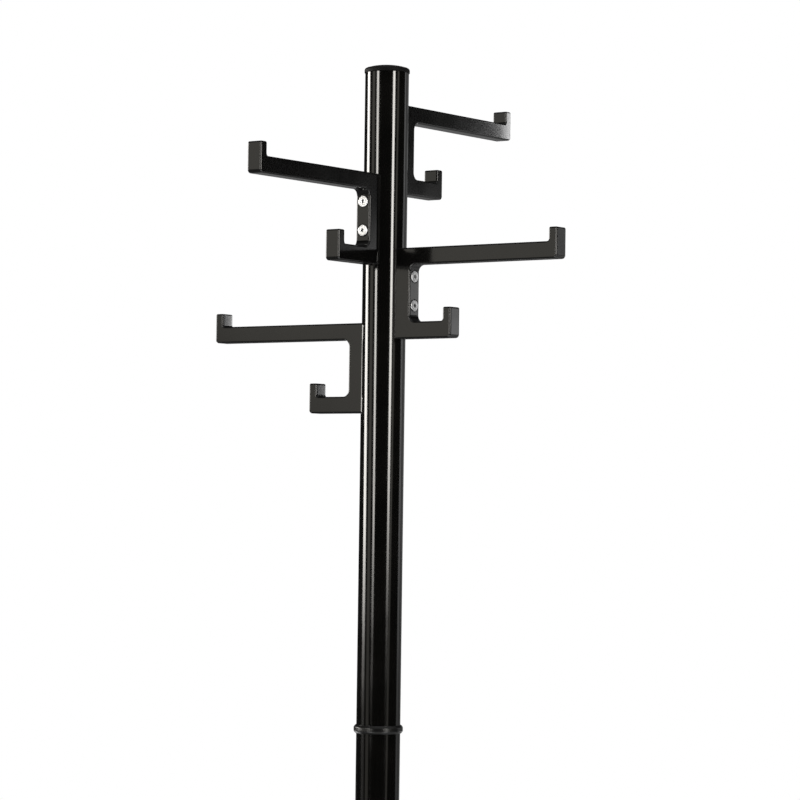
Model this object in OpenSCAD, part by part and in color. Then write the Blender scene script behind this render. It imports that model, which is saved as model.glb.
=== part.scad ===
// Standing coat rack: a round two-piece steel column on a heavy disc base, with four
// moulded double hooks screwed to the column a quarter turn apart, each one lower than the last.
// Millimetres, +Z up. The origin is on the floor at the column axis.
// The hooks point along +X (right), -X (left), +Y (back) and -Y (front).

/* [Column] */
// Height from the floor to the crown of the top cap
total_height = 1750; // [1600:5:1900]
// Outside diameter of both column tubes
tube_d = 50; // [38:1:60]
// Wall thickness of the column tubes
tube_wall = 1.5; // [1:0.1:3]
// Height of the middle of the ring that joins the two tubes
joint_height = 994; // [800:0.5:1100]

/* [Joint ring] */
// Largest diameter of the ring, at the middle of its bulge
ring_d = 56; // [52:0.5:66]
// Height of the ring
ring_h = 9.3; // [8:0.1:20]
// Thickness of the web that parts the two tube ends
ring_web = 2; // [1:0.5:4]

/* [Top cap] */
// Diameter of the cap flange that covers the end of the tube
cap_d = 51.8; // [50:0.1:60]
// Height of the straight part of the flange
cap_flange_h = 3.9; // [1.5:0.1:5]
// Rise of the crown above the flange
cap_crown_h = 4.7; // [0.5:0.1:6]
// Length of the plug that goes down into the tube
cap_plug_h = 18; // [10:1:30]

/* [Hooks] */
// Drop from the crown of the cap to the top of the highest hook
first_hook_drop = 42.7; // [25:0.1:80]
// Step down from each hook to the next
hook_pitch = 83.9; // [60:0.1:120]
// Distance from the column axis to the outer face of the long tip
long_reach = 240; // [150:1:300]
// Distance from the column axis to the outer face of the short tip
short_reach = 99; // [70:1:140]
// Height of a hook from the underside of the short arm to the top of the long arm
hook_h = 103; // [75:1:140]
// Height of the two arm bars
arm_h = 19; // [10:0.1:24]
// Width of a hook across its flat sides
hook_w = 19.2; // [12:0.1:24]
// Distance from the column axis to the outer face of the spine
spine_reach = 42.4; // [36:0.1:60]
// Thickness of the two upturned tips
tip_t = 10.6; // [6:0.2:14]
// Rise of the tips above the arms
tip_rise = 15.7; // [8:0.1:30]
// Radius of the fillets between the spine and the arms
spine_fillet_r = 8; // [3:0.5:12]
// Radius of the long edges of the hook
edge_r = 1.8; // [0.4:0.1:2.5]

/* [Hook screws] */
// Distance from the top of the long arm down to the upper screw
screw_drop = 32.4; // [26:0.1:45]
// Distance between the two screws of a hook
screw_pitch = 33; // [20:0.5:40]
// Diameter of the flat screw head
head_d = 13; // [10:0.1:16]
// Height of the screw head
head_h = 2; // [1.5:0.1:5]
// Length of the screw under its head
screw_len = 25; // [20:1:30]

/* [Base] */
// Diameter of the steel base disc
base_d = 380; // [300:5:450]
// Thickness of the base disc
base_t = 10; // [6:0.5:20]
// Height of the rubber floor pads
pad_h = 5; // [3:0.5:10]
// Diameter of the rubber floor pads
pad_d = 26; // [15:1:40]
// Number of floor pads
pad_count = 5; // [3:1:8]

/* [Hidden] */
$fn = 96;
EPS = 0.01;
GAP = 0.1;
tube_r = tube_d / 2;
bore_r = tube_r - tube_wall;
plug_r = bore_r - 0.05;
base_top = pad_h + base_t;
upper_tube_z = joint_height + ring_web / 2;
lower_tube_top = joint_height - ring_web / 2;
tube_top = total_height - cap_flange_h - cap_crown_h;
first_hook_z = total_height - first_hook_drop;
tip_fillet_r = 3;
tip_corner_r = 4;
tip_crown_r = 1.9;
screw_d = 6;
screw_hole_d = 6.6;
head_seat = 1;
head_seat_d = head_d + 1.8;
nut_hole_d = 9;
nut_flange_d = 13;
nut_flange_h = 1.2;
nut_len = 13;
stud_d = 10;
stud_len = 50;
joint_plug_h = 30;
collar_h = 13;
collar_d = 66;
washer_d = 30;
washer_t = 2;

// Turn of each hook about the column, and its step down from the highest one
BACK = [90, 0];
FRONT = [-90, 1];
RIGHT = [0, 2];
LEFT = [180, 3];
SIDES = [BACK, FRONT, RIGHT, LEFT];

// Sub-parts, one STEP file each

top_cap();
upper_tube();
joint_ring();
lower_tube();
upper_joint_plug();
lower_joint_plug();
joint_stud();
hook_back();
hook_front();
hook_right();
hook_left();
screws_back();
screws_front();
screws_right();
screws_left();
rivet_nuts_back();
rivet_nuts_front();
rivet_nuts_right();
rivet_nuts_left();
base_collar();
base_plate();
foot_plug();
base_bolt();
base_washer();
floor_pads();

// ---- Placing ----

// Turns a child drawn along +X to its side of the column, with the top of the hook at its height
module on_side(side) {
    rotate([0, 0, side[0]])
        translate([0, 0, first_hook_z - side[1] * hook_pitch])
            children();
}

// Repeats a child drawn along +X at both screw positions of one hook
module at_screws() {
    for (i = [0, 1])
        translate([0, 0, -screw_drop - i * screw_pitch])
            children();
}

// Cylinder along +X from x0 to x1
module rod_x(x0, x1, d) {
    translate([x0, 0, 0])
        rotate([0, 90, 0])
            cylinder(h = x1 - x0, d = d);
}

// ---- Flat shapes ----

// The sliver between a square corner at (x, y) and an arc of radius r.
// sx and sy point from the corner to the middle of the arc.
module corner_sliver(x, y, sx, sy, r) {
    difference() {
        translate([sx > 0 ? x : x - r, sy > 0 ? y : y - r])
            square(r);
        translate([x + sx * r, y + sy * r])
            circle(r);
    }
}

// Box section from (x0, y0) to (x1, y1) with rounded corners
module soft_box(x0, y0, x1, y1, r) {
    difference() {
        translate([x0, y0])
            square([x1 - x0, y1 - y0]);
        corner_sliver(x0, y0, 1, 1, r);
        corner_sliver(x1, y0, -1, 1, r);
        corner_sliver(x0, y1, 1, -1, r);
        corner_sliver(x1, y1, -1, -1, r);
    }
}

// ---- Column ----

// Tube from z0 to z1
module tube(z0, z1) {
    translate([0, 0, z0])
        difference() {
            cylinder(h = z1 - z0, r = tube_r);
            translate([0, 0, -1])
                cylinder(h = z1 - z0 + 2, r = bore_r);
        }
}

// Half section of the crowned disc that closes the tube
module cap_section() {
    crown_r = (pow(cap_d / 2, 2) + pow(cap_crown_h, 2)) / (2 * cap_crown_h);
    rim_h = cap_flange_h + 0.5;
    difference() {
        intersection() {
            square([cap_d / 2, cap_flange_h + cap_crown_h]);
            translate([0, cap_flange_h + cap_crown_h - crown_r])
                circle(crown_r, $fn = 360);
        }
        corner_sliver(cap_d / 2, rim_h, -1, -1, 1.2);
    }
}

// Domed flange on a hollow ribbed plug
module top_cap() {
    skirt_r = plug_r - 0.6;
    skirt_wall = 2;
    color([0.04, 0.04, 0.04])
        translate([0, 0, tube_top]) {
            rotate_extrude()
                cap_section();
            translate([0, 0, -cap_plug_h])
                difference() {
                    cylinder(h = cap_plug_h + 0.5, r = skirt_r);
                    translate([0, 0, -1])
                        cylinder(h = cap_plug_h + 1, r = skirt_r - skirt_wall);
                }
            for (a = [0:45:315])
                rotate([0, 0, a])
                    translate([skirt_r - 1, -0.8, -cap_plug_h + 2])
                        cube([plug_r - skirt_r + 1 - EPS, 1.6, cap_plug_h - 2 + 0.5]);
        }
}

// Upper tube, drilled for the eight rivet nuts
module upper_tube() {
    color([0.03, 0.03, 0.03])
        difference() {
            tube(upper_tube_z, tube_top);
            for (side = SIDES)
                on_side(side)
                    at_screws()
                        rod_x(bore_r - 4, tube_r + 2, nut_hole_d);
        }
}

module lower_tube() {
    color([0.03, 0.03, 0.03])
        tube(base_top, lower_tube_top);
}

// Half section of the ring: a web between the tubes and a bulging band around their ends
module ring_section() {
    lip = 0.6;
    bulge = (ring_d - tube_d) / 2 - lip;
    bulge_r = (pow(ring_h / 2, 2) + pow(bulge, 2)) / (2 * bulge);
    stud_hole_r = stud_d / 2 + 0.3;
    translate([stud_hole_r, -ring_web / 2])
        square([tube_r + GAP - stud_hole_r, ring_web]);
    translate([tube_r + GAP / 2, -ring_h / 2])
        square([lip, ring_h]);
    intersection() {
        translate([tube_r + GAP / 2, -ring_h / 2])
            square([ring_d, ring_h]);
        translate([ring_d / 2 - bulge_r, 0])
            circle(bulge_r);
    }
}

module joint_ring() {
    color([0.05, 0.05, 0.05])
        translate([0, 0, joint_height])
            rotate_extrude()
                ring_section();
}

// Steel plug pressed into a tube end, tapped for the stud
module joint_plug(z0) {
    translate([0, 0, z0])
        difference() {
            cylinder(h = joint_plug_h, r = plug_r);
            translate([0, 0, -1])
                cylinder(h = joint_plug_h + 2, d = stud_d + 2 * GAP);
        }
}

module upper_joint_plug() {
    color([0.6, 0.6, 0.62])
        joint_plug(upper_tube_z);
}

module lower_joint_plug() {
    color([0.6, 0.6, 0.62])
        joint_plug(lower_tube_top - joint_plug_h);
}

// Stud that draws the two tubes together on the ring
module joint_stud() {
    color([0.6, 0.6, 0.62])
        translate([0, 0, joint_height - stud_len / 2])
            cylinder(h = stud_len, d = stud_d);
}

// ---- Hooks, drawn along +X with the top of the long arm at z = 0 ----

// Side outline of a hook: spine, long arm above, short arm below, both with upturned tips
module hook_outline() {
    short_top = arm_h - hook_h;
    difference() {
        union() {
            translate([tube_r - 3, -hook_h])
                square([spine_reach - tube_r + 3, hook_h]);
            arm_outline(long_reach, 0);
            arm_outline(short_reach, short_top);
            corner_sliver(spine_reach, -arm_h, 1, -1, spine_fillet_r);
            corner_sliver(spine_reach, short_top, 1, 1, spine_fillet_r);
        }
        for (tip = [[long_reach, 0], [short_reach, short_top]]) {
            corner_sliver(tip[0], tip[1] - arm_h, -1, 1, tip_corner_r);
            corner_sliver(tip[0], tip[1] + tip_rise, -1, -1, tip_crown_r);
            corner_sliver(tip[0] - tip_t, tip[1] + tip_rise, 1, -1, tip_crown_r);
        }
    }
}

// Bar with its upturned tip, reaching out to x and with its top face at y
module arm_outline(x, y) {
    translate([spine_reach - 2, y - arm_h])
        square([x - spine_reach + 2, arm_h]);
    translate([x - tip_t, y - arm_h])
        square([tip_t, arm_h + tip_rise]);
    corner_sliver(x - tip_t, y, -1, 1, tip_fillet_r);
}

// The space a hook may fill: straight bars with rounded long edges
module soft_bars() {
    short_top = arm_h - hook_h;
    soft_bar_z(tube_r - 6, spine_reach, -hook_h, 0);
    for (arm = [[long_reach, 0], [short_reach, short_top]]) {
        soft_bar_x(tube_r - 4, arm[0], arm[1] - arm_h, arm[1]);
        soft_bar_z(arm[0] - tip_t, arm[0], arm[1] - arm_h, arm[1] + tip_rise);
    }
}

// Bar along X with its section from z0 to z1
module soft_bar_x(x0, x1, z0, z1) {
    translate([x0, 0, 0])
        rotate([90, 0, 90])
            linear_extrude(x1 - x0)
                soft_box(-hook_w / 2, z0, hook_w / 2, z1, edge_r);
}

// Bar along Z with its section from x0 to x1
module soft_bar_z(x0, x1, z0, z1) {
    translate([0, 0, z0])
        linear_extrude(z1 - z0)
            soft_box(x0, -hook_w / 2, x1, hook_w / 2, edge_r);
}

// Sets an outline drawn in X and Z upright, centred on y = 0 and w wide
module upright(w) {
    rotate([90, 0, 0])
        linear_extrude(w, center = true)
            children();
}

// Webs that fill the inner corners, between the rounded edges
module corner_webs() {
    short_top = arm_h - hook_h;
    upright(hook_w - 2 * edge_r) {
        corner_sliver(spine_reach, -arm_h, 1, -1, spine_fillet_r);
        corner_sliver(spine_reach, short_top, 1, 1, spine_fillet_r);
        corner_sliver(long_reach - tip_t, 0, -1, 1, tip_fillet_r);
        corner_sliver(short_reach - tip_t, short_top, -1, 1, tip_fillet_r);
    }
}

// One moulded hook with a saddle to suit the tube, screw holes, head seats and nut pockets
module hook() {
    color([0.05, 0.05, 0.05])
        difference() {
            union() {
                intersection() {
                    upright(hook_w)
                        hook_outline();
                    soft_bars();
                }
                corner_webs();
            }
            translate([0, 0, -hook_h - 1])
                cylinder(h = hook_h + 2, r = tube_r + GAP / 2);
            at_screws() {
                rod_x(0, spine_reach + 1, screw_hole_d);
                rod_x(spine_reach - head_seat, spine_reach + 1, head_seat_d);
                rod_x(0, tube_r + nut_flange_h + 0.6, nut_flange_d + 1);
            }
        }
}

module hook_back() {
    on_side(BACK)
        hook();
}

module hook_front() {
    on_side(FRONT)
        hook();
}

module hook_right() {
    on_side(RIGHT)
        hook();
}

module hook_left() {
    on_side(LEFT)
        hook();
}

// ---- Hook fasteners ----

// Half section of the flat screw head, axis along Y, seat at y = 0: a rounded rim and a faint crown
module head_section() {
    rim_r = 0.7;
    crown = 0.2;
    crown_r = (pow(head_d / 2, 2) + pow(crown, 2)) / (2 * crown);
    difference() {
        intersection() {
            square([head_d / 2, head_h]);
            translate([0, head_h - crown_r])
                circle(crown_r, $fn = 720);
        }
        corner_sliver(head_d / 2, head_h - crown + 0.05, -1, -1, rim_r);
    }
}

// Flat-head furniture screw with a hex socket
module screw() {
    seat = spine_reach - head_seat;
    socket_w = 4;
    socket_depth = 2.1;
    difference() {
        union() {
            rod_x(seat - screw_len, seat + EPS, screw_d);
            translate([seat, 0, 0])
                rotate([0, 90, 0])
                    rotate_extrude()
                        head_section();
        }
        translate([seat + head_h - socket_depth, 0, 0])
            rotate([0, 90, 0])
                cylinder(h = socket_depth + 1, d = socket_w / cos(30), $fn = 6);
    }
}

// Rivet nut set in the tube wall: thin flange outside, swollen collar inside
module rivet_nut() {
    seat = tube_r + GAP / 2;
    difference() {
        union() {
            rod_x(seat, seat + nut_flange_h, nut_flange_d);
            rod_x(seat - nut_len, seat + EPS, nut_hole_d - GAP);
            rod_x(bore_r - 4.2, bore_r - 0.9, 11.4);
        }
        rod_x(0, tube_r + 5, screw_d + 2 * GAP);
    }
}

module screw_pair(side) {
    color([0.75, 0.75, 0.76])
        on_side(side)
            at_screws()
                screw();
}

module rivet_nut_pair(side) {
    color([0.7, 0.66, 0.5])
        on_side(side)
            at_screws()
                rivet_nut();
}

module screws_back() {
    screw_pair(BACK);
}

module screws_front() {
    screw_pair(FRONT);
}

module screws_right() {
    screw_pair(RIGHT);
}

module screws_left() {
    screw_pair(LEFT);
}

module rivet_nuts_back() {
    rivet_nut_pair(BACK);
}

module rivet_nuts_front() {
    rivet_nut_pair(FRONT);
}

module rivet_nuts_right() {
    rivet_nut_pair(RIGHT);
}

module rivet_nuts_left() {
    rivet_nut_pair(LEFT);
}

// ---- Base ----

// Trim ring that covers the foot of the lower tube
module base_collar() {
    shoulder_r = 5;
    color([0.05, 0.05, 0.05])
        translate([0, 0, base_top])
            rotate_extrude()
                difference() {
                    translate([tube_r + GAP, 0])
                        square([collar_d / 2 - tube_r - GAP, collar_h]);
                    corner_sliver(collar_d / 2, collar_h, -1, -1, shoulder_r);
                }
}

// Steel disc with a softened rim, a bolt hole and a pocket underneath for the bolt head
module base_plate() {
    rim_r = 3;
    pocket_h = 4;
    color([0.03, 0.03, 0.03])
        translate([0, 0, pad_h])
            rotate_extrude()
                difference() {
                    translate([stud_d / 2 + 0.3, 0])
                        square([base_d / 2 - stud_d / 2 - 0.3, base_t]);
                    square([washer_d / 2 + 1, pocket_h]);
                    corner_sliver(base_d / 2, base_t, -1, -1, rim_r);
                    corner_sliver(base_d / 2, 0, -1, 1, 1);
                }
}

// Steel plug pressed into the foot of the lower tube, tapped for the base bolt
module foot_plug() {
    color([0.6, 0.6, 0.62])
        joint_plug(base_top);
}

// Button-head bolt that holds the column to the base from below
module base_bolt() {
    seat = base_top - (base_t - 4) - washer_t;
    color([0.6, 0.6, 0.62])
        translate([0, 0, seat])
            difference() {
                union() {
                    translate([0, 0, -5])
                        cylinder(h = 5 + EPS, d1 = 13, d2 = 17.5);
                    cylinder(h = 32, d = stud_d);
                }
                translate([0, 0, -6])
                    cylinder(h = 4, d = 6 / cos(30), $fn = 6);
            }
}

module base_washer() {
    color([0.7, 0.7, 0.72])
        translate([0, 0, base_top - (base_t - 4) - washer_t])
            difference() {
                cylinder(h = washer_t, d = washer_d);
                translate([0, 0, -1])
                    cylinder(h = washer_t + 2, d = stud_d + 0.6);
            }
}

// Rubber pads under the rim of the base
module floor_pads() {
    color([0.1, 0.1, 0.1])
        for (i = [0:pad_count - 1])
            rotate([0, 0, 90 + i * 360 / pad_count])
                translate([base_d / 2 - pad_d, 0, 0])
                    rotate_extrude()
                        difference() {
                            square([pad_d / 2, pad_h]);
                            corner_sliver(pad_d / 2, 0, -1, 1, 1);
                        }
}
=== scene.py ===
"""Looks for the standing coat rack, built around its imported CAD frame. Metres, +Z up."""
import math
from collections import namedtuple

import bmesh
import bpy
from mathutils import Matrix, Vector


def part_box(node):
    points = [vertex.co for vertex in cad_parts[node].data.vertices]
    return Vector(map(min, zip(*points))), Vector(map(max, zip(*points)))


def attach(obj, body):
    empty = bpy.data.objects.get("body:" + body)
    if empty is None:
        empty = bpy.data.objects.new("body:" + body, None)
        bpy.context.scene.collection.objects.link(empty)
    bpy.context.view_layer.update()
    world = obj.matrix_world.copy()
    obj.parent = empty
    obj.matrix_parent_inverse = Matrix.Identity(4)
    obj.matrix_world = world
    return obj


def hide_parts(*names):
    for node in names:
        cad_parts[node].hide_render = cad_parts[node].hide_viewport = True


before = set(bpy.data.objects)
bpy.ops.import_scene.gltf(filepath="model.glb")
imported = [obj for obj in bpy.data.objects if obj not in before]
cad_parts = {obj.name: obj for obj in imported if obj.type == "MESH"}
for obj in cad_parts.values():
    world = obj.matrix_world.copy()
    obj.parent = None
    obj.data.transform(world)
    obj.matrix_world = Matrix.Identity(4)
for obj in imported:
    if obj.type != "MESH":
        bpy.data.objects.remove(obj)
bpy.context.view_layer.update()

MM = 0.001
tube_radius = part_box("lower_tube")[1].x

# ---- Sizes that the node boxes don't give ----

# Hooks: each is one moulding with a long arm above, a short arm below and a spine between them
HOOK_W = 19.2 * MM
HOOK_H = 103.0 * MM
ARM_H = 19.0 * MM
LONG_REACH = 240.0 * MM
SHORT_REACH = 99.0 * MM
SPINE_REACH = 42.4 * MM
TIP_T = 10.6 * MM
TIP_RISE = 15.7 * MM
SPINE_FILLET = 8.0 * MM
TIP_FILLET = 3.0 * MM
TIP_CORNER = 4.0 * MM
TIP_CROWN = 1.9 * MM
EDGE_R = 1.8 * MM

# Screws, the shallow seats that their heads sit in, and their hex sockets
HEAD_R = 6.5 * MM
HEAD_H = 2.0 * MM
HEAD_SEAT = 1.0 * MM
HEAD_SEAT_R = 7.4 * MM
HEAD_RIM = 0.7 * MM
HEAD_CROWN = 0.2 * MM
SEAT_CHAMFER = 0.25 * MM
SHANK_R = 3.0 * MM
SHANK_GAP = 0.3 * MM
SCREW_LEN = 25.0 * MM
SOCKET_W = 4.0 * MM
SOCKET_DEPTH = 2.1 * MM
SOCKET_LIP = 0.3 * MM
SOCKET_CHAMFER = 0.15 * MM

# Column and base
TUBE_WALL = 1.5 * MM
TUBE_END_ROUND = 0.35 * MM
TUBE_DRILL_R = 4.5 * MM
CAP_CROWN = 4.7 * MM
CAP_SHOULDER = 1.2 * MM
CAP_SHOULDER_ROUND = 3.0 * MM
CAP_DOME_SHARE = 0.52
CAP_DOME_ROUND = 60 * MM
CAP_WALL = 2.0 * MM
BULGE_ROUND = 3.2 * MM
BULGE_SHARE = 0.55
BOLT_HOLE_R = 5.3 * MM
BOLT_POCKET_R = 16 * MM
BOLT_POCKET_DEPTH = 4 * MM
PAD_R = 13 * MM
PAD_COUNT = 5

# Corner radii that the round pieces share. SHARP is too small to see, and is for corners on the axis
SHARP = 0.0001 * MM
FINE = 0.2 * MM
SOFT = 0.5 * MM

# Gap at a close fit, how far a cutter runs past a face, and the widest gap that welding closes
FIT_GAP = 0.05 * MM
OVERSHOOT = 1.0 * MM
WELD_GAP = 0.002 * MM

# How many flats go round each kind of round piece
SMALL_SEGMENTS = 64
TRIM_SEGMENTS = 128
TUBE_SEGMENTS = 160
BASE_SEGMENTS = 256

# Which way each hook points, as a turn from +X
HOOK_TURNS = {"back": 90.0, "front": -90.0, "right": 0.0, "left": 180.0}


# ---- Camera ----

# The camera stands to the front right of the rack, a little below the hooks, and looks slightly up
CAMERA_AT = Vector((2.0585, -2.7965, 1.249))
CAMERA_LENS = 137.18
CAMERA_PAN = math.radians(-0.325)
CAMERA_TILT = math.radians(1.96)
CAMERA_ROLL = math.radians(0.774)


def make_camera():
    """A camera in the photo's place, facing the column, then panned, tilted and rolled a little."""
    to_axis = math.atan2(-CAMERA_AT.y, -CAMERA_AT.x)
    heading = to_axis + CAMERA_PAN
    forward = Vector((
        math.cos(heading) * math.cos(CAMERA_TILT),
        math.sin(heading) * math.cos(CAMERA_TILT),
        math.sin(CAMERA_TILT),
    ))
    level_right = forward.cross(Vector((0, 0, 1))).normalized()
    level_up = level_right.cross(forward)
    turn = Matrix.Rotation(-CAMERA_ROLL, 3, forward)
    right = turn @ level_right
    up = turn @ level_up
    camera = bpy.data.objects.new("photo_camera", bpy.data.cameras.new("photo_camera"))
    camera.data.lens = CAMERA_LENS
    camera.data.sensor_width = 36.0
    camera.data.clip_end = 60.0
    axes = Matrix((right, up, -forward)).transposed()
    camera.matrix_world = Matrix.Translation(CAMERA_AT) @ axes.to_4x4()
    bpy.context.scene.collection.objects.link(camera)
    bpy.context.scene.camera = camera


# ---- Node helpers ----

class Nodes:
    """Short calls for building a node tree."""

    def __init__(self, tree):
        self.tree = tree
        tree.nodes.clear()

    def add(self, kind, sockets=None, **settings):
        """A new node. sockets maps an input to a value or to the output that feeds it."""
        made = self.tree.nodes.new(kind)
        for name, value in settings.items():
            setattr(made, name, value)
        for name, value in (sockets or {}).items():
            if isinstance(value, bpy.types.NodeSocket):
                self.tree.links.new(value, made.inputs[name])
            else:
                made.inputs[name].default_value = value
        return made

    def math(self, operation, *values):
        """The result of a sum on values or outputs."""
        made = self.add("ShaderNodeMath", dict(enumerate(values)), operation=operation)
        return made.outputs[0]

    def step(self, value, low, high, first=0.0, last=1.0):
        """Goes smoothly from first to last as value goes from low to high."""
        made = self.add("ShaderNodeMapRange", {
            "Value": value, "From Min": low, "From Max": high, "To Min": first, "To Max": last,
        }, interpolation_type="SMOOTHSTEP")
        return made.outputs["Result"]

    def band(self, value, start, end, soft):
        """1 between two edges in degrees, falling to 0 over soft degrees on each side of an edge."""
        into = self.step(value, math.radians(start - soft), math.radians(start + soft))
        out = self.step(value, math.radians(end - soft), math.radians(end + soft), 1.0, 0.0)
        return self.math("MULTIPLY", into, out)

    def noise(self, where, scale, detail=2.0, roughness=0.5):
        """Cloudy noise, with about scale clouds to the metre."""
        made = self.add("ShaderNodeTexNoise", {
            "Vector": where, "Scale": scale, "Detail": detail, "Roughness": roughness,
        })
        return made.outputs[0]

    def mix(self, share, first, second):
        """A colour that goes from first to second as share goes from 0 to 1."""
        made = self.add("ShaderNodeMix", {0: share, 6: first, 7: second}, data_type="RGBA")
        return made.outputs[2]

    def bump(self, height, distance, strength):
        """A normal that follows height as if the surface stood distance proud."""
        made = self.add("ShaderNodeBump", {"Height": height, "Distance": distance, "Strength": strength})
        return made.outputs["Normal"]


def grey(value):
    """An opaque grey of the given level."""
    return (value, value, value, 1.0)


def new_material(name):
    """A new material and its empty node tree."""
    made = bpy.data.materials.new(name)
    made.use_nodes = True
    return made, Nodes(made.node_tree)


# ---- Materials ----

def gloss_paint():
    """Gloss black powder coat: faint orange peel and a slightly uneven sheen."""
    made, n = new_material("gloss_black_paint")
    where = n.add("ShaderNodeTexCoord").outputs["Object"]
    peel = n.noise(where, 420.0, 2.0, 0.5)
    drift = n.noise(where, 14.0, 3.0, 0.6)
    dust = n.noise(where, 2600.0, 1.0, 0.5)
    roughness = n.step(drift, 0.3, 0.7, 0.07, 0.11)
    deep = (0.0016, 0.0015, 0.0013, 1)
    light = (0.0026, 0.0024, 0.0021, 1)
    color = n.mix(n.step(drift, 0.35, 0.65), deep, light)
    height = n.math("MULTIPLY_ADD", dust, 0.03, peel)
    shader = n.add("ShaderNodeBsdfPrincipled", {
        "Base Color": color, "Roughness": roughness, "IOR": 1.5,
        "Normal": n.bump(height, 0.001 * MM, 0.6),
    })
    n.add("ShaderNodeOutputMaterial", {"Surface": shader.outputs[0]})
    return made


def base_paint():
    """Satin black powder coat with a visible fine grain."""
    made, n = new_material("satin_black_paint")
    where = n.add("ShaderNodeTexCoord").outputs["Object"]
    peel = n.noise(where, 700.0, 3.0, 0.55)
    drift = n.noise(where, 9.0, 3.0, 0.6)
    shader = n.add("ShaderNodeBsdfPrincipled", {
        "Base Color": n.mix(n.step(drift, 0.3, 0.7), grey(0.007), grey(0.011)),
        "Roughness": n.step(drift, 0.3, 0.7, 0.3, 0.38), "IOR": 1.5,
        "Normal": n.bump(peel, 0.02 * MM, 0.6),
    })
    n.add("ShaderNodeOutputMaterial", {"Surface": shader.outputs[0]})
    return made


def moulded_plastic(name, tone, smooth, rough, sheen=0.5):
    """Satin black moulding: fine spark grain, slow sheen drift, and a painted highlight that makes the
    edges a little lighter.
    """
    made, n = new_material(name)
    where = n.add("ShaderNodeTexCoord").outputs["Object"]
    grain = n.noise(where, 2400.0, 2.0, 0.6)
    drift = n.noise(where, 22.0, 3.0, 0.55)
    # The bevel node finds the rounded edges, and they get a lighter colour: a painted highlight.
    edges = n.add("ShaderNodeBevel", {"Radius": 0.8 * MM}, samples=4)
    facing = n.add("ShaderNodeNewGeometry").outputs["Normal"]
    bend = n.add("ShaderNodeVectorMath", {0: edges.outputs[0], 1: facing}, operation="DOT_PRODUCT")
    edge_highlight_share = n.step(bend.outputs["Value"], 0.9, 0.995, 1.0, 0.0)
    low_tone = (tone * 0.85, tone * 0.83, tone * 0.8, 1)
    high_tone = (tone * 1.1, tone * 1.06, tone, 1)
    base = n.mix(n.step(drift, 0.3, 0.7), low_tone, high_tone)
    edge_highlit_tone = n.mix(edge_highlight_share, base, grey(tone * 1.8))
    shader = n.add("ShaderNodeBsdfPrincipled", {
        "Base Color": edge_highlit_tone, "Roughness": n.step(drift, 0.3, 0.7, smooth, rough), "IOR": 1.5,
        "Specular IOR Level": sheen, "Normal": n.bump(grain, 0.0005 * MM, 0.5),
    })
    n.add("ShaderNodeOutputMaterial", {"Surface": shader.outputs[0]})
    return made


def plated_steel(name, tone, rough, brushed=0.0):
    """Zinc plate: mottled sheen with fine turning marks, and painted shade down in the sockets."""
    made, n = new_material(name)
    where = n.add("ShaderNodeTexCoord").outputs["Object"]
    mottle = n.noise(where, 300.0, 3.0, 0.6)
    marks = n.noise(where, 3200.0, 2.0, 0.6)
    # Ambient occlusion darkens the colour in the sockets and other tight hollows: painted shade.
    open_share = n.add("ShaderNodeAmbientOcclusion", {"Distance": 3.0 * MM}, samples=8).outputs["AO"]
    unshaded_zinc = n.mix(n.step(mottle, 0.3, 0.7), (tone * 0.93, tone * 0.94, tone * 0.95, 1), grey(tone))
    shader = n.add("ShaderNodeBsdfPrincipled", {
        "Base Color": n.mix(n.step(open_share, 0.3, 0.8), grey(tone * 0.06), unshaded_zinc),
        "Metallic": 1.0, "Roughness": n.step(mottle, 0.3, 0.7, rough * 0.8, rough * 1.2),
        "Normal": n.bump(marks, 0.004 * MM, 0.4 + brushed),
    })
    n.add("ShaderNodeOutputMaterial", {"Surface": shader.outputs[0]})
    return made


def pad_rubber():
    """Matt dark rubber with a fine grain and a faint dusty bloom."""
    made, n = new_material("pad_rubber")
    where = n.add("ShaderNodeTexCoord").outputs["Object"]
    grain = n.noise(where, 1800.0, 3.0, 0.6)
    bloom = n.noise(where, 60.0, 3.0, 0.6)
    shader = n.add("ShaderNodeBsdfPrincipled", {
        "Base Color": n.mix(n.step(bloom, 0.3, 0.7), grey(0.018), grey(0.03)),
        "Roughness": n.step(bloom, 0.3, 0.7, 0.75, 0.9),
        "Normal": n.bump(grain, 0.03 * MM, 0.6),
    })
    n.add("ShaderNodeOutputMaterial", {"Surface": shader.outputs[0]})
    return made


# ---- Mesh helpers ----

def rounded_outline(corners):
    """Points and outward normals round a closed outline.

    corners is a list of (x, y, radius), anticlockwise. Each becomes a tangent arc.
    """
    points = []
    count = len(corners)
    for i, (x, y, radius) in enumerate(corners):
        here = Vector((x, y))
        back = (Vector(corners[i - 1][:2]) - here).normalized()
        ahead = (Vector(corners[(i + 1) % count][:2]) - here).normalized()
        turn = (-back).x * ahead.y - (-back).y * ahead.x
        convex = turn > 0
        half = back.angle(ahead) / 2
        centre = here + (back + ahead).normalized() * (radius / math.sin(half))
        start = here + back * (radius / math.tan(half)) - centre
        sweep = math.pi - 2 * half
        steps = max(4, min(20, round(radius / MM * 1.5)))
        for k in range(steps + 1):
            angle = sweep * k / steps * (1 if convex else -1)
            arm = start.copy()
            arm.rotate(Matrix.Rotation(angle, 2))
            outward = arm.normalized() if convex else -arm.normalized()
            points.append((centre + arm, outward))
    return points


def mesh_from(bm, name, material, smooth_under=35.0):
    """Makes a piece from a bmesh, with shading that keeps flats flat and rounds round."""
    bmesh.ops.recalc_face_normals(bm, faces=bm.faces)
    mesh = bpy.data.meshes.new(name)
    bm.to_mesh(mesh)
    bm.free()
    mesh.materials.append(material)
    piece = bpy.data.objects.new(name, mesh)
    bpy.context.scene.collection.objects.link(piece)
    finish_shading(piece, smooth_under)
    return piece


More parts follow.
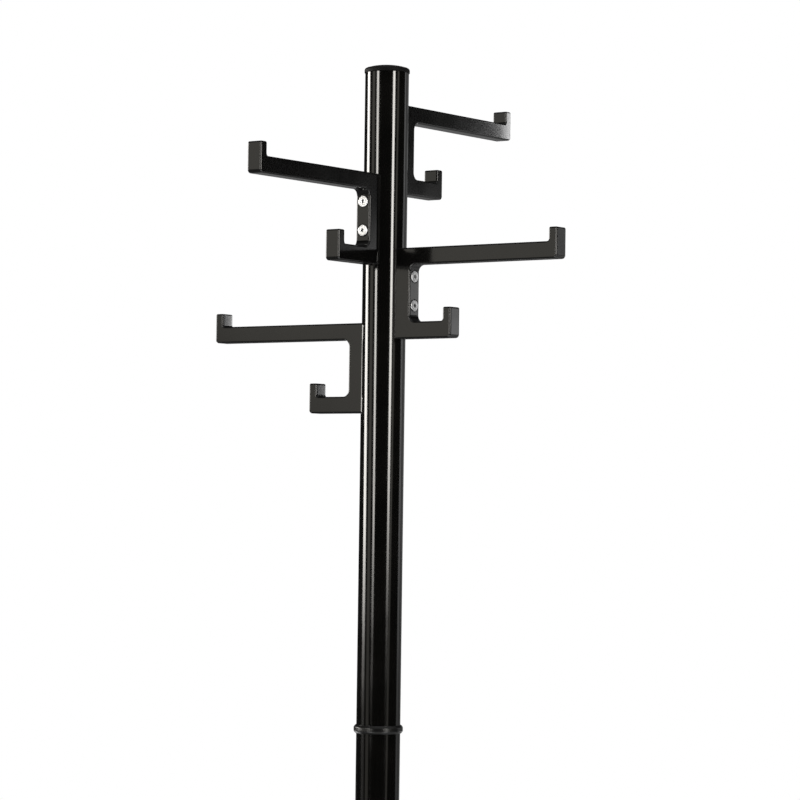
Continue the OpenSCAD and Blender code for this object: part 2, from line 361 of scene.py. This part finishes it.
def finish_shading(piece, smooth_under=35.0):
    """Smooths the gentle bends, keeps the sharp ones, and leaves the flats flat."""
    for face in piece.data.polygons:
        face.use_smooth = True
    piece.data.set_sharp_from_angle(angle=math.radians(smooth_under))
    weighted = piece.modifiers.new("weighted_normals", "WEIGHTED_NORMAL")
    weighted.keep_sharp = True
    weighted.weight = 60


def lathe(corners, name, material, segments=TRIM_SEGMENTS):
    """A round piece from its half section.

    corners is a list of (r, z, radius), anticlockwise seen with r to the right.
    """
    section = [point for point, _ in rounded_outline(corners)]
    bm = bmesh.new()
    rings = []
    for k in range(segments):
        rings.append([turned(bm, max(point.x, 0.0), point.y, k, segments) for point in section])
    for k in range(segments):
        ring, after = rings[k], rings[(k + 1) % segments]
        for i in range(len(section)):
            j = (i + 1) % len(section)
            bm.faces.new((ring[i], after[i], after[j], ring[j]))
    bmesh.ops.remove_doubles(bm, verts=bm.verts, dist=1e-7)
    bmesh.ops.dissolve_degenerate(bm, edges=bm.edges, dist=1e-8)
    return mesh_from(bm, name, material)


def cut(piece, cutters):
    """Takes the cutters away from the piece and keeps the result as its mesh."""
    for cutter in cutters:
        tool = piece.modifiers.new("cut", "BOOLEAN")
        tool.operation = "DIFFERENCE"
        tool.solver = "EXACT"
        tool.object = cutter
    weighted = [m for m in piece.modifiers if m.type == "WEIGHTED_NORMAL"]
    for modifier in weighted:
        piece.modifiers.remove(modifier)
    seen = bpy.context.evaluated_depsgraph_get()
    made = bpy.data.meshes.new_from_object(piece.evaluated_get(seen))
    piece.modifiers.clear()
    piece.data = made
    weld(piece)
    for cutter in cutters:
        bpy.data.objects.remove(cutter)


def weld(piece):
    """Closes the hairline gaps and drops the slivers that cutting leaves behind."""
    bm = bmesh.new()
    bm.from_mesh(piece.data)
    bmesh.ops.remove_doubles(bm, verts=bm.verts, dist=WELD_GAP)
    bmesh.ops.dissolve_degenerate(bm, edges=bm.edges, dist=WELD_GAP)
    loose = [vert for vert in bm.verts if not vert.link_faces]
    bmesh.ops.delete(bm, geom=loose, context="VERTS")
    bm.to_mesh(piece.data)
    bm.free()


def rod_cutter(axis_at, direction, start, end, radius, segments=SMALL_SEGMENTS, flare=0.0):
    """A cylinder to cut with, along direction from start to end, or a cone that widens by flare."""
    bm = bmesh.new()
    bmesh.ops.create_cone(
        bm, cap_ends=True, segments=segments, radius1=radius, radius2=radius + flare, depth=end - start,
    )
    turn = Vector((0, 0, 1)).rotation_difference(direction).to_matrix().to_4x4()
    middle = axis_at + direction * ((start + end) / 2)
    bmesh.ops.transform(bm, matrix=Matrix.Translation(middle) @ turn, verts=bm.verts)
    mesh = bpy.data.meshes.new("cutter")
    bm.to_mesh(mesh)
    bm.free()
    made = bpy.data.objects.new("cutter", mesh)
    bpy.context.scene.collection.objects.link(made)
    return made


def settle(piece, slot, *nodes):
    """Puts a finished piece on the rack's one body, in place of its CAD nodes."""
    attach(piece, "root")
    if nodes:
        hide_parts(*nodes)
    return piece


# ---- Hooks ----

def hook_corners(back):
    """Side outline of a hook as (reach, height, corner radius). Height 0 is the top of the long arm."""
    short_top = ARM_H - HOOK_H
    return [
        (back, -HOOK_H, TIP_CROWN),
        (SHORT_REACH, -HOOK_H, TIP_CORNER),
        (SHORT_REACH, short_top + TIP_RISE, TIP_CROWN),
        (SHORT_REACH - TIP_T, short_top + TIP_RISE, TIP_CROWN),
        (SHORT_REACH - TIP_T, short_top, TIP_FILLET),
        (SPINE_REACH, short_top, SPINE_FILLET),
        (SPINE_REACH, -ARM_H, SPINE_FILLET),
        (LONG_REACH, -ARM_H, TIP_CORNER),
        (LONG_REACH, TIP_RISE, TIP_CROWN),
        (LONG_REACH - TIP_T, TIP_RISE, TIP_CROWN),
        (LONG_REACH - TIP_T, 0.0, TIP_FILLET),
        (back, 0.0, TIP_CROWN),
    ]


def hook_slices():
    """(sideways place, inset) of each slice across a hook: rounded edges, and flats between them."""
    half = HOOK_W / 2
    steps = 5
    edge = [math.pi / 2 * k / steps for k in range(steps + 1)]
    near = [(-half + EDGE_R * (1 - math.sin(a)), EDGE_R * (1 - math.cos(a))) for a in reversed(edge)]
    middle = [(half * share, 0.0) for share in (-0.7, -0.45, -0.2, 0, 0.2, 0.45, 0.7)]
    far = [(-y, inset) for y, inset in reversed(near)]
    return near + middle + far


def hook_blank(back):
    """An uncut hook as a bmesh, reaching along +X from back, with the top of its long arm at height 0."""
    outline = rounded_outline(hook_corners(back))
    bm = bmesh.new()
    rows = []
    for y, inset in hook_slices():
        row = []
        for point, outward in outline:
            x, z = point - outward * inset
            row.append(bm.verts.new((x, y, z)))
        rows.append(row)
    count = len(outline)
    for first, second in zip(rows, rows[1:]):
        for i in range(count):
            j = (i + 1) % count
            bm.faces.new((first[i], first[j], second[j], second[i]))
    bm.faces.new(rows[0])
    bm.faces.new(list(reversed(rows[-1])))
    return bm


def hook_body(side, material):
    """One moulded hook, with its back hollowed to the tube and a seat round each screw head."""
    foot = Vector((0, 0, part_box("hook_" + side)[0].z))
    upward = Vector((0, 0, 1))
    saddle = tube_radius + FIT_GAP
    inside_tube = saddle - 8 * MM
    bm = hook_blank(inside_tube)
    turn = Matrix.Rotation(math.radians(HOOK_TURNS[side]), 4, "Z")
    place = Matrix.Translation(foot + upward * HOOK_H) @ turn
    bmesh.ops.transform(bm, matrix=place, verts=bm.verts)
    piece = mesh_from(bm, "hook_" + side + "_body", material)
    direction = turn.to_3x3() @ Vector((1, 0, 0))
    past_ends = 5 * OVERSHOOT
    cutters = [rod_cutter(foot, upward, -past_ends, HOOK_H + past_ends, saddle, TUBE_SEGMENTS)]
    for height in screw_heights(side):
        cutters += screw_cutters(Vector((0, 0, height)), direction, saddle)
    cut(piece, cutters)
    finish_shading(piece)
    return settle(piece, "hook_plastic", "hook_" + side)


def screw_cutters(axis_at, direction, saddle):
    """Cutters for one screw: the seat of its head, the chamfer round the seat, and the shank hole."""
    above = SPINE_REACH + OVERSHOOT
    chamfer_from = SPINE_REACH - SEAT_CHAMFER - FIT_GAP
    flare = above - chamfer_from
    return [
        rod_cutter(axis_at, direction, SPINE_REACH - HEAD_SEAT, above, HEAD_SEAT_R),
        rod_cutter(axis_at, direction, chamfer_from, above, HEAD_SEAT_R - FIT_GAP, flare=flare),
        rod_cutter(axis_at, direction, saddle - 2 * OVERSHOOT, SPINE_REACH, SHANK_R + SHANK_GAP),
    ]


def screw_heights(side):
    """Heights of the two screws of a hook, from the box of its screw node."""
    low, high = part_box("screws_" + side)
    return [high.z - HEAD_R, low.z + HEAD_R]


# ---- Screws ----

def head_height(r):
    """Height of the faintly crowned head at radius r."""
    return HEAD_H - HEAD_CROWN * (r / HEAD_R) ** 2


def screw_section(lip_r):
    """Half section of a screw as (r, z), from its point to the lip of its socket."""
    section = [(SHANK_R, -SCREW_LEN), (SHANK_R, 0.0), (HEAD_R - FINE, 0.0), (HEAD_R, FINE)]
    shoulder_r = HEAD_R - HEAD_RIM
    rim_steps = 5
    for k in range(rim_steps + 1):
        angle = math.pi / 2 * k / rim_steps
        rise = head_height(shoulder_r) - HEAD_RIM + HEAD_RIM * math.sin(angle)
        section.append((shoulder_r + HEAD_RIM * math.cos(angle), rise))
    face_steps = 6
    for k in range(1, face_steps + 1):
        r = shoulder_r + (lip_r - shoulder_r) * k / face_steps
        section.append((r, head_height(r)))
    return section


def screw(side, number, height, material):
    """A flat-head screw with a hex socket, drawn along +Z and then laid out to its side."""
    seat = SPINE_REACH - HEAD_SEAT
    lip_r = SOCKET_W / 2 / math.cos(math.pi / 6) + SOCKET_LIP
    socket_top = head_height(lip_r) - SOCKET_CHAMFER
    socket_floor = HEAD_H - SOCKET_DEPTH
    screwed_to = math.radians(17 + 23 * number)
    segments = 48
    bm = bmesh.new()
    rings = []
    for r, z in screw_section(lip_r):
        rings.append([turned(bm, r, z, k, segments) for k in range(segments)])
    for z in (socket_top, socket_floor):
        rings.append([hexed(bm, SOCKET_W / 2, z, k, segments) for k in range(segments)])
    for first, second in zip(rings, rings[1:]):
        for k in range(segments):
            j = (k + 1) % segments
            bm.faces.new((first[k], first[j], second[j], second[k]))
    bm.faces.new(rings[-1])
    bm.faces.new(list(reversed(rings[0])))
    place = (
        Matrix.Translation((0, 0, height))
        @ Matrix.Rotation(math.radians(HOOK_TURNS[side]), 4, "Z")
        @ Matrix.Translation((seat, 0, 0))
        @ Matrix.Rotation(math.pi / 2, 4, "Y")
        @ Matrix.Rotation(screwed_to, 4, "Z")
    )
    bmesh.ops.transform(bm, matrix=place, verts=bm.verts)
    piece = mesh_from(bm, "screw_" + side + "_" + str(number), material, 30.0)
    return settle(piece, "bright_screws", "screws_" + side)


def turned(bm, r, z, k, segments):
    """Vertex k of a round ring at height z."""
    angle = 2 * math.pi * k / segments
    return bm.verts.new((r * math.cos(angle), r * math.sin(angle), z))


def hexed(bm, flat, z, k, segments):
    """Vertex k of a ring that follows a hexagon with the given half width across its flats."""
    angle = 2 * math.pi * k / segments
    from_flat = (angle + math.pi / 6) % (math.pi / 3) - math.pi / 6
    return turned(bm, flat / math.cos(from_flat), z, k, segments)


# ---- Column ----

def top_cap(material):
    """Hollow plug with a flange over the tube's end and a low dome on it."""
    low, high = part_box("top_cap")
    flange_r = high.x
    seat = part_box("upper_tube")[1].z
    ceiling = seat + SOFT
    skirt_r = tube_radius - TUBE_WALL - 0.6 * MM
    shoulder = high.z - CAP_CROWN + CAP_SHOULDER
    return settle(lathe([
        (0.0, ceiling, SHARP),
        (skirt_r - CAP_WALL, ceiling, 0.3 * MM),
        (skirt_r - CAP_WALL, low.z, 0.3 * MM),
        (skirt_r, low.z, 0.6 * MM),
        (skirt_r, seat, FINE),
        (flange_r, seat, 0.4 * MM),
        (flange_r, shoulder, CAP_SHOULDER_ROUND),
        (flange_r * CAP_DOME_SHARE, high.z, CAP_DOME_ROUND),
        (0.0, high.z, SHARP),
    ], "top_cap_moulding", material), "cap_plastic", "top_cap")


def tube_skin(node, name, material):
    """A plain length of tube in its node's place, with slightly rounded ends."""
    low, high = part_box(node)
    inner = tube_radius - TUBE_WALL
    return lathe([
        (inner, low.z, TUBE_END_ROUND), (tube_radius, low.z, TUBE_END_ROUND),
        (tube_radius, high.z, TUBE_END_ROUND), (inner, high.z, TUBE_END_ROUND),
    ], name, material, TUBE_SEGMENTS)


def drilled_upper_tube(material):
    """The upper tube, with a hole in its wall behind each hook screw."""
    piece = tube_skin("upper_tube", "upper_tube_skin", material)
    inside = tube_radius - 5 * OVERSHOOT
    outside = tube_radius + OVERSHOOT
    cutters = []
    for side, turn in HOOK_TURNS.items():
        angle = math.radians(turn)
        direction = Vector((math.cos(angle), math.sin(angle), 0))
        for height in screw_heights(side):
            at = Vector((0, 0, height))
            cutters.append(rod_cutter(at, direction, inside, outside, TUBE_DRILL_R, segments=32))
    cut(piece, cutters)
    finish_shading(piece)
    return settle(piece, "tube_paint", "upper_tube")


def joint_ring(material):
    """Bulging band round the tube ends, with a web between them."""
    low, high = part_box("joint_ring")
    middle = (low.z + high.z) / 2
    half = (high.z - low.z) / 2
    half_web = 1.0 * MM
    bore = tube_radius + FIT_GAP
    lip = bore + 1.0 * MM
    bulge = half * BULGE_SHARE
    return settle(lathe([
        (BOLT_HOLE_R, middle - half_web, FINE),
        (bore, middle - half_web, FINE / 2),
        (bore, middle - half, FINE),
        (lip, middle - half, SOFT),
        (high.x, middle - bulge, BULGE_ROUND),
        (high.x, middle + bulge, BULGE_ROUND),
        (lip, middle + half, SOFT),
        (bore, middle + half, FINE),
        (bore, middle + half_web, FINE / 2),
        (BOLT_HOLE_R, middle + half_web, FINE),
    ], "joint_ring_band", material), "ring_plastic", "joint_ring")


# ---- Base ----

def base_disc(material):
    """Heavy disc with a rounded upper rim, and a pocket below for the bolt head."""
    low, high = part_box("base_plate")
    pocket = low.z + BOLT_POCKET_DEPTH
    return settle(lathe([
        (BOLT_HOLE_R, pocket, FINE),
        (BOLT_POCKET_R, pocket, 0.3 * MM),
        (BOLT_POCKET_R, low.z, SOFT),
        (high.x, low.z, 1.0 * MM),
        (high.x, high.z, 3.0 * MM),
        (BOLT_HOLE_R, high.z, FINE),
    ], "base_disc", material, BASE_SEGMENTS), "base_paint", "base_plate")


def base_collar(material):
    """Trim ring that hides the joint between the column and the base."""
    low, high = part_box("base_collar")
    bore = tube_radius + 2 * FIT_GAP
    return settle(lathe([
        (bore, low.z, FINE),
        (high.x, low.z, 0.4 * MM),
        (high.x, high.z, 5.0 * MM),
        (bore, high.z, 0.6 * MM),
    ], "base_collar_ring", material), "ring_plastic", "base_collar")


def floor_pads(material):
    """Round rubber pads under the rim of the base."""
    low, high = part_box("floor_pads")
    circle = high.y - PAD_R
    for k in range(PAD_COUNT):
        angle = math.pi / 2 + 2 * math.pi * k / PAD_COUNT
        piece = lathe([
            (0.0, low.z, SHARP), (PAD_R, low.z, 1.0 * MM),
            (PAD_R, high.z, 0.4 * MM), (0.0, high.z, SHARP),
        ], "floor_pad_" + str(k + 1), material, SMALL_SEGMENTS)
        shift = Matrix.Translation((circle * math.cos(angle), circle * math.sin(angle), 0))
        piece.data.transform(shift)
        settle(piece, "pad_rubber", "floor_pads")


# ---- Floor and light ----

FLOOR_RADIUS = 6.0
FADE_FROM = 1.5
FADE_TO = 5.7


def make_floor():
    """Pale round floor that fades out towards its rim."""
    bm = bmesh.new()
    bmesh.ops.create_circle(bm, cap_ends=True, segments=128, radius=FLOOR_RADIUS)
    mesh = bpy.data.meshes.new("studio_floor")
    bm.to_mesh(mesh)
    bm.free()
    material, n = new_material("pale_floor")
    where = n.add("ShaderNodeTexCoord").outputs["Object"]
    spread = n.add("ShaderNodeVectorMath", {0: where}, operation="LENGTH").outputs["Value"]
    cloud = n.noise(where, 1.5, 3.0, 0.5)
    paint = n.add("ShaderNodeBsdfDiffuse", {"Color": n.mix(cloud, grey(0.80), grey(0.83))})
    clear = n.add("ShaderNodeBsdfTransparent")
    fade = n.step(spread, FADE_FROM, FADE_TO)
    surface = n.add("ShaderNodeMixShader", {0: fade, 1: paint.outputs[0], 2: clear.outputs[0]})
    n.add("ShaderNodeOutputMaterial", {"Surface": surface.outputs[0]})
    mesh.materials.append(material)
    floor = bpy.data.objects.new("studio_floor", mesh)
    bpy.context.scene.collection.objects.link(floor)
    floor.visible_glossy = False


NEUTRAL = (1.0, 1.0, 1.0)
SOFT_WARM = (1.0, 0.97, 0.92)
WARM = (1.0, 0.96, 0.86)

# Tall lights and cards standing round the rack, for its glossy faces to reflect. All are in degrees.
# start and end are turns from the photo camera, anticlockwise seen from above, and lean is how far
# they shift for each degree of height. A card is at its full level from foot to top, and low below
# its foot: foot and top are each (where the change starts, where it ends). soft blurs its sides.
Card = namedtuple(
    "Card", "start end level low foot top soft lean tint",
    defaults=((12, 18), 1.5, 0.0, NEUTRAL),
)
STUDIO_CARDS = [
    # Tall lights left and right of the camera, and the dimmer bands beside them
    Card(-106.0, -87.5, 17.0, 0.3, (-3.4, 0.4), lean=-1.75, tint=SOFT_WARM),
    Card(-74.0, -57.5, 0.95, 0.45, (-4, 0), soft=2.5, lean=-1.0, tint=WARM),
    Card(-45.0, -35.0, 15.5, 0.0, (-3.1, 1.5), lean=-1.0, tint=SOFT_WARM),
    Card(32.5, 44.0, 19.5, 0.0, (-2.6, 2.3), tint=SOFT_WARM),
    Card(48.5, 57.5, 0.9, 0.5, (-4, 0), soft=2.5, lean=1.2, tint=WARM),
    # Room beyond the rack, which shows in the hook faces that turn to the right
    Card(107.2, 109.8, 2.1, 0.5, (-4, 0), (4.8, 5.6), soft=0.5),
    Card(109.8, 113.0, 0.3, 0.2, (-4, 0), (4.8, 5.6), soft=0.5),
    Card(113.0, 122.0, 1.1, 0.4, (-4, 0), (4.8, 5.6), soft=1.0),
    Card(110.4, 122.0, 1.0, 0.0, (4.8, 5.6), soft=0.6),
    Card(122.0, 165.0, 0.25, 0.15, (-4, 0), soft=2.0),
    # Low cards beyond the rack, which show along the undersides of the arms
    Card(148.0, 190.0, 0.2, 0.0, (-12, -9), (-5.6, -4.8), soft=6.0),
    Card(-190.0, -148.0, 0.2, 0.0, (-12, -9), (-5.6, -4.8), soft=6.0),
    # Floor all round, brighter near the foot of the rack
    Card(-179.0, 179.0, 0.13, 0.3, (-66, -58), (-14, -9)),
    # Cards low and high up, which lift the faces that other camera angles show
    Card(-68.0, 103.0, 0.5, 0.0, (-96, -93), (-18, -12), soft=6.0),
    Card(114.0, 170.0, 0.4, 0.0, (-22, -19), (-12, -8), soft=2.0),
    Card(-163.0, -97.0, 0.5, 0.0, (-40, -36), (-12, -8), soft=4.0),
    Card(-66.0, 102.0, 0.35, 0.0, (14, 20), (84, 88), soft=6.0),
    Card(-45.0, -35.0, 6.0, 0.0, (-60, -45), (-20, -14), soft=2.0),
    Card(32.5, 44.0, 6.0, 0.0, (-60, -45), (-20, -14), soft=2.0),
    Card(132.0, 141.0, 5.0, 0.0, (-24, -20), (-16, -11), soft=2.0),
    Card(-147.0, -136.0, 6.0, 0.0, (-38, -33), (-18, -12), soft=2.0),
]
ROOM_LIGHT = 0.02
SKY_LIGHT = 0.3


def card_level(n, card, turned_by, height):
    """How bright a card is, seen from the rack at a turn from the photo camera and at a height."""
    across = n.math("MULTIPLY_ADD", height, -card.lean, turned_by)
    share = n.band(across, card.start, card.end, card.soft)
    above = n.step(height, *[math.radians(edge) for edge in card.foot])
    under = n.step(height, *[math.radians(edge) for edge in card.top], 1.0, 0.0)
    level = n.math("MULTIPLY", n.math("MULTIPLY_ADD", above, card.level - card.low, card.low), under)
    return n.math("MULTIPLY", share, level)


def make_world():
    """White to the camera, and to everything else a dim room with the studio cards in it."""
    world = bpy.data.worlds.new("studio")
    bpy.context.scene.world = world
    world.use_nodes = True
    n = Nodes(world.node_tree)
    way = n.add("ShaderNodeTexCoord").outputs["Generated"]
    parts = n.add("ShaderNodeSeparateXYZ", {0: way})
    bearing = n.math("ARCTAN2", parts.outputs["Y"], parts.outputs["X"])
    camera_bearing = math.atan2(CAMERA_AT.y, CAMERA_AT.x)
    turned_by = n.math("WRAP", n.math("SUBTRACT", bearing, camera_bearing), math.pi, -math.pi)
    height = n.math("ARCSINE", parts.outputs["Z"])
    sky = n.step(height, math.radians(25), math.radians(90), 0.0, SKY_LIGHT)
    room_level = n.math("ADD", sky, ROOM_LIGHT)
    total = n.add("ShaderNodeBackground", {"Color": grey(1.0), "Strength": room_level}).outputs[0]
    for card in STUDIO_CARDS:
        glow = n.add("ShaderNodeBackground", {
            "Color": (*card.tint, 1), "Strength": card_level(n, card, turned_by, height),
        })
        total = n.add("ShaderNodeAddShader", {0: total, 1: glow.outputs[0]}).outputs[0]
    seen = n.add("ShaderNodeBackground", {"Color": grey(1.0), "Strength": 1.0})
    path = n.add("ShaderNodeLightPath").outputs["Is Camera Ray"]
    both = n.add("ShaderNodeMixShader", {0: path, 1: total, 2: seen.outputs[0]})
    n.add("ShaderNodeOutputWorld", {"Surface": both.outputs[0]})


def area_light(name, at, towards, width, height, radiance, only=None, half_cone=90.0):
    """A flat light at a point, facing another point, giving the same radiance all over.

    only is a piece, when the light should fall on nothing else.
    half_cone is how far the light spreads to each side, in degrees. The output is scaled to
    the part of a full spread that falls in the cone, so that the radiance ahead stays the same.
    """
    made = bpy.data.objects.new(name, bpy.data.lights.new(name, "AREA"))
    cone = math.radians(half_cone)
    cone_share = math.sin(cone) ** 2 - (cone - math.sin(2 * cone) / 2) / math.tan(cone)
    made.data.shape = "RECTANGLE"
    made.data.size = width
    made.data.size_y = height
    made.data.spread = 2 * cone
    made.data.energy = radiance * math.pi * width * height * cone_share
    made.location = at
    made.rotation_euler = (Vector(towards) - Vector(at)).to_track_quat("-Z", "Y").to_euler()
    made.visible_camera = False
    bpy.context.scene.collection.objects.link(made)
    if only is not None:
        lit = bpy.data.collections.new("lit_by_" + name)
        lit.objects.link(only)
        made.light_linking.receiver_collection = lit
    return made


def make_tip_panels(back_hook, left_hook):
    """Small panels whose reflections light up the tips of the highest and the lowest hook."""
    area_light(
        "back_tip_panel", at=(0.331, 0.908, 1.79), towards=(-0.087, 0.292, 1.70),
        width=0.22, height=0.2, radiance=17.0, only=back_hook, half_cone=9.0,
    )
    area_light(
        "left_tip_panel", at=(0.034, 0.558, 1.50), towards=(-0.229, 0.0, 1.465),
        width=0.3, height=0.3, radiance=7.0, only=left_hook,
    )
    area_light(
        "left_short_tip_panel", at=(0.268, 0.559, 1.395), towards=(-0.088, 0.0, 1.372),
        width=0.1, height=0.1, radiance=5.0, only=left_hook,
    )


CEILING_HEIGHT = 4.5
CEILING_SIZE = 5.0
CEILING_RADIANCE = 3.2


def make_ceiling():
    """Wide soft light overhead that brightens the floor and gives no reflections."""
    lamp = area_light(
        "ceiling", at=(0, 0, CEILING_HEIGHT), towards=(0, 0, 0),
        width=CEILING_SIZE, height=CEILING_SIZE, radiance=CEILING_RADIANCE,
    )
    lamp.visible_glossy = False


# ---- Assembly ----

make_camera()
bpy.context.scene.view_settings.view_transform = "Standard"

paint = gloss_paint()
hook_plastic = moulded_plastic("hook_plastic", tone=0.0025, smooth=0.09, rough=0.115)
trim_plastic = moulded_plastic("trim_plastic", tone=0.003, smooth=0.28, rough=0.34, sheen=0.4)
cap_plastic = moulded_plastic("cap_plastic", tone=0.004, smooth=0.5, rough=0.6, sheen=0.1)
bright_zinc = plated_steel("bright_zinc", tone=0.95, rough=0.36)
dull_zinc = plated_steel("dull_zinc", tone=0.6, rough=0.35)
bare_steel = plated_steel("turned_steel", tone=0.5, rough=0.3, brushed=0.2)

top_cap(cap_plastic)
drilled_upper_tube(paint)
joint_ring(trim_plastic)
settle(tube_skin("lower_tube", "lower_tube_skin", paint), "tube_paint", "lower_tube")
hooks = {}
for side in HOOK_TURNS:
    hooks[side] = hook_body(side, hook_plastic)
    for number, height in enumerate(screw_heights(side)):
        screw(side, number + 1, height, bright_zinc)
base_disc(base_paint())
base_collar(trim_plastic)
floor_pads(pad_rubber())

HIDDEN_NODES = {
    "upper_joint_plug": bare_steel, "lower_joint_plug": bare_steel, "foot_plug": bare_steel,
    "joint_stud": dull_zinc, "base_bolt": dull_zinc, "base_washer": dull_zinc,
    "rivet_nuts_back": dull_zinc, "rivet_nuts_front": dull_zinc,
    "rivet_nuts_right": dull_zinc, "rivet_nuts_left": dull_zinc,
}
for node, material in HIDDEN_NODES.items():
    for material_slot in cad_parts[node].material_slots:
        material_slot.material = material

make_floor()
make_world()
make_ceiling()
make_tip_panels(hooks["back"], hooks["left"])
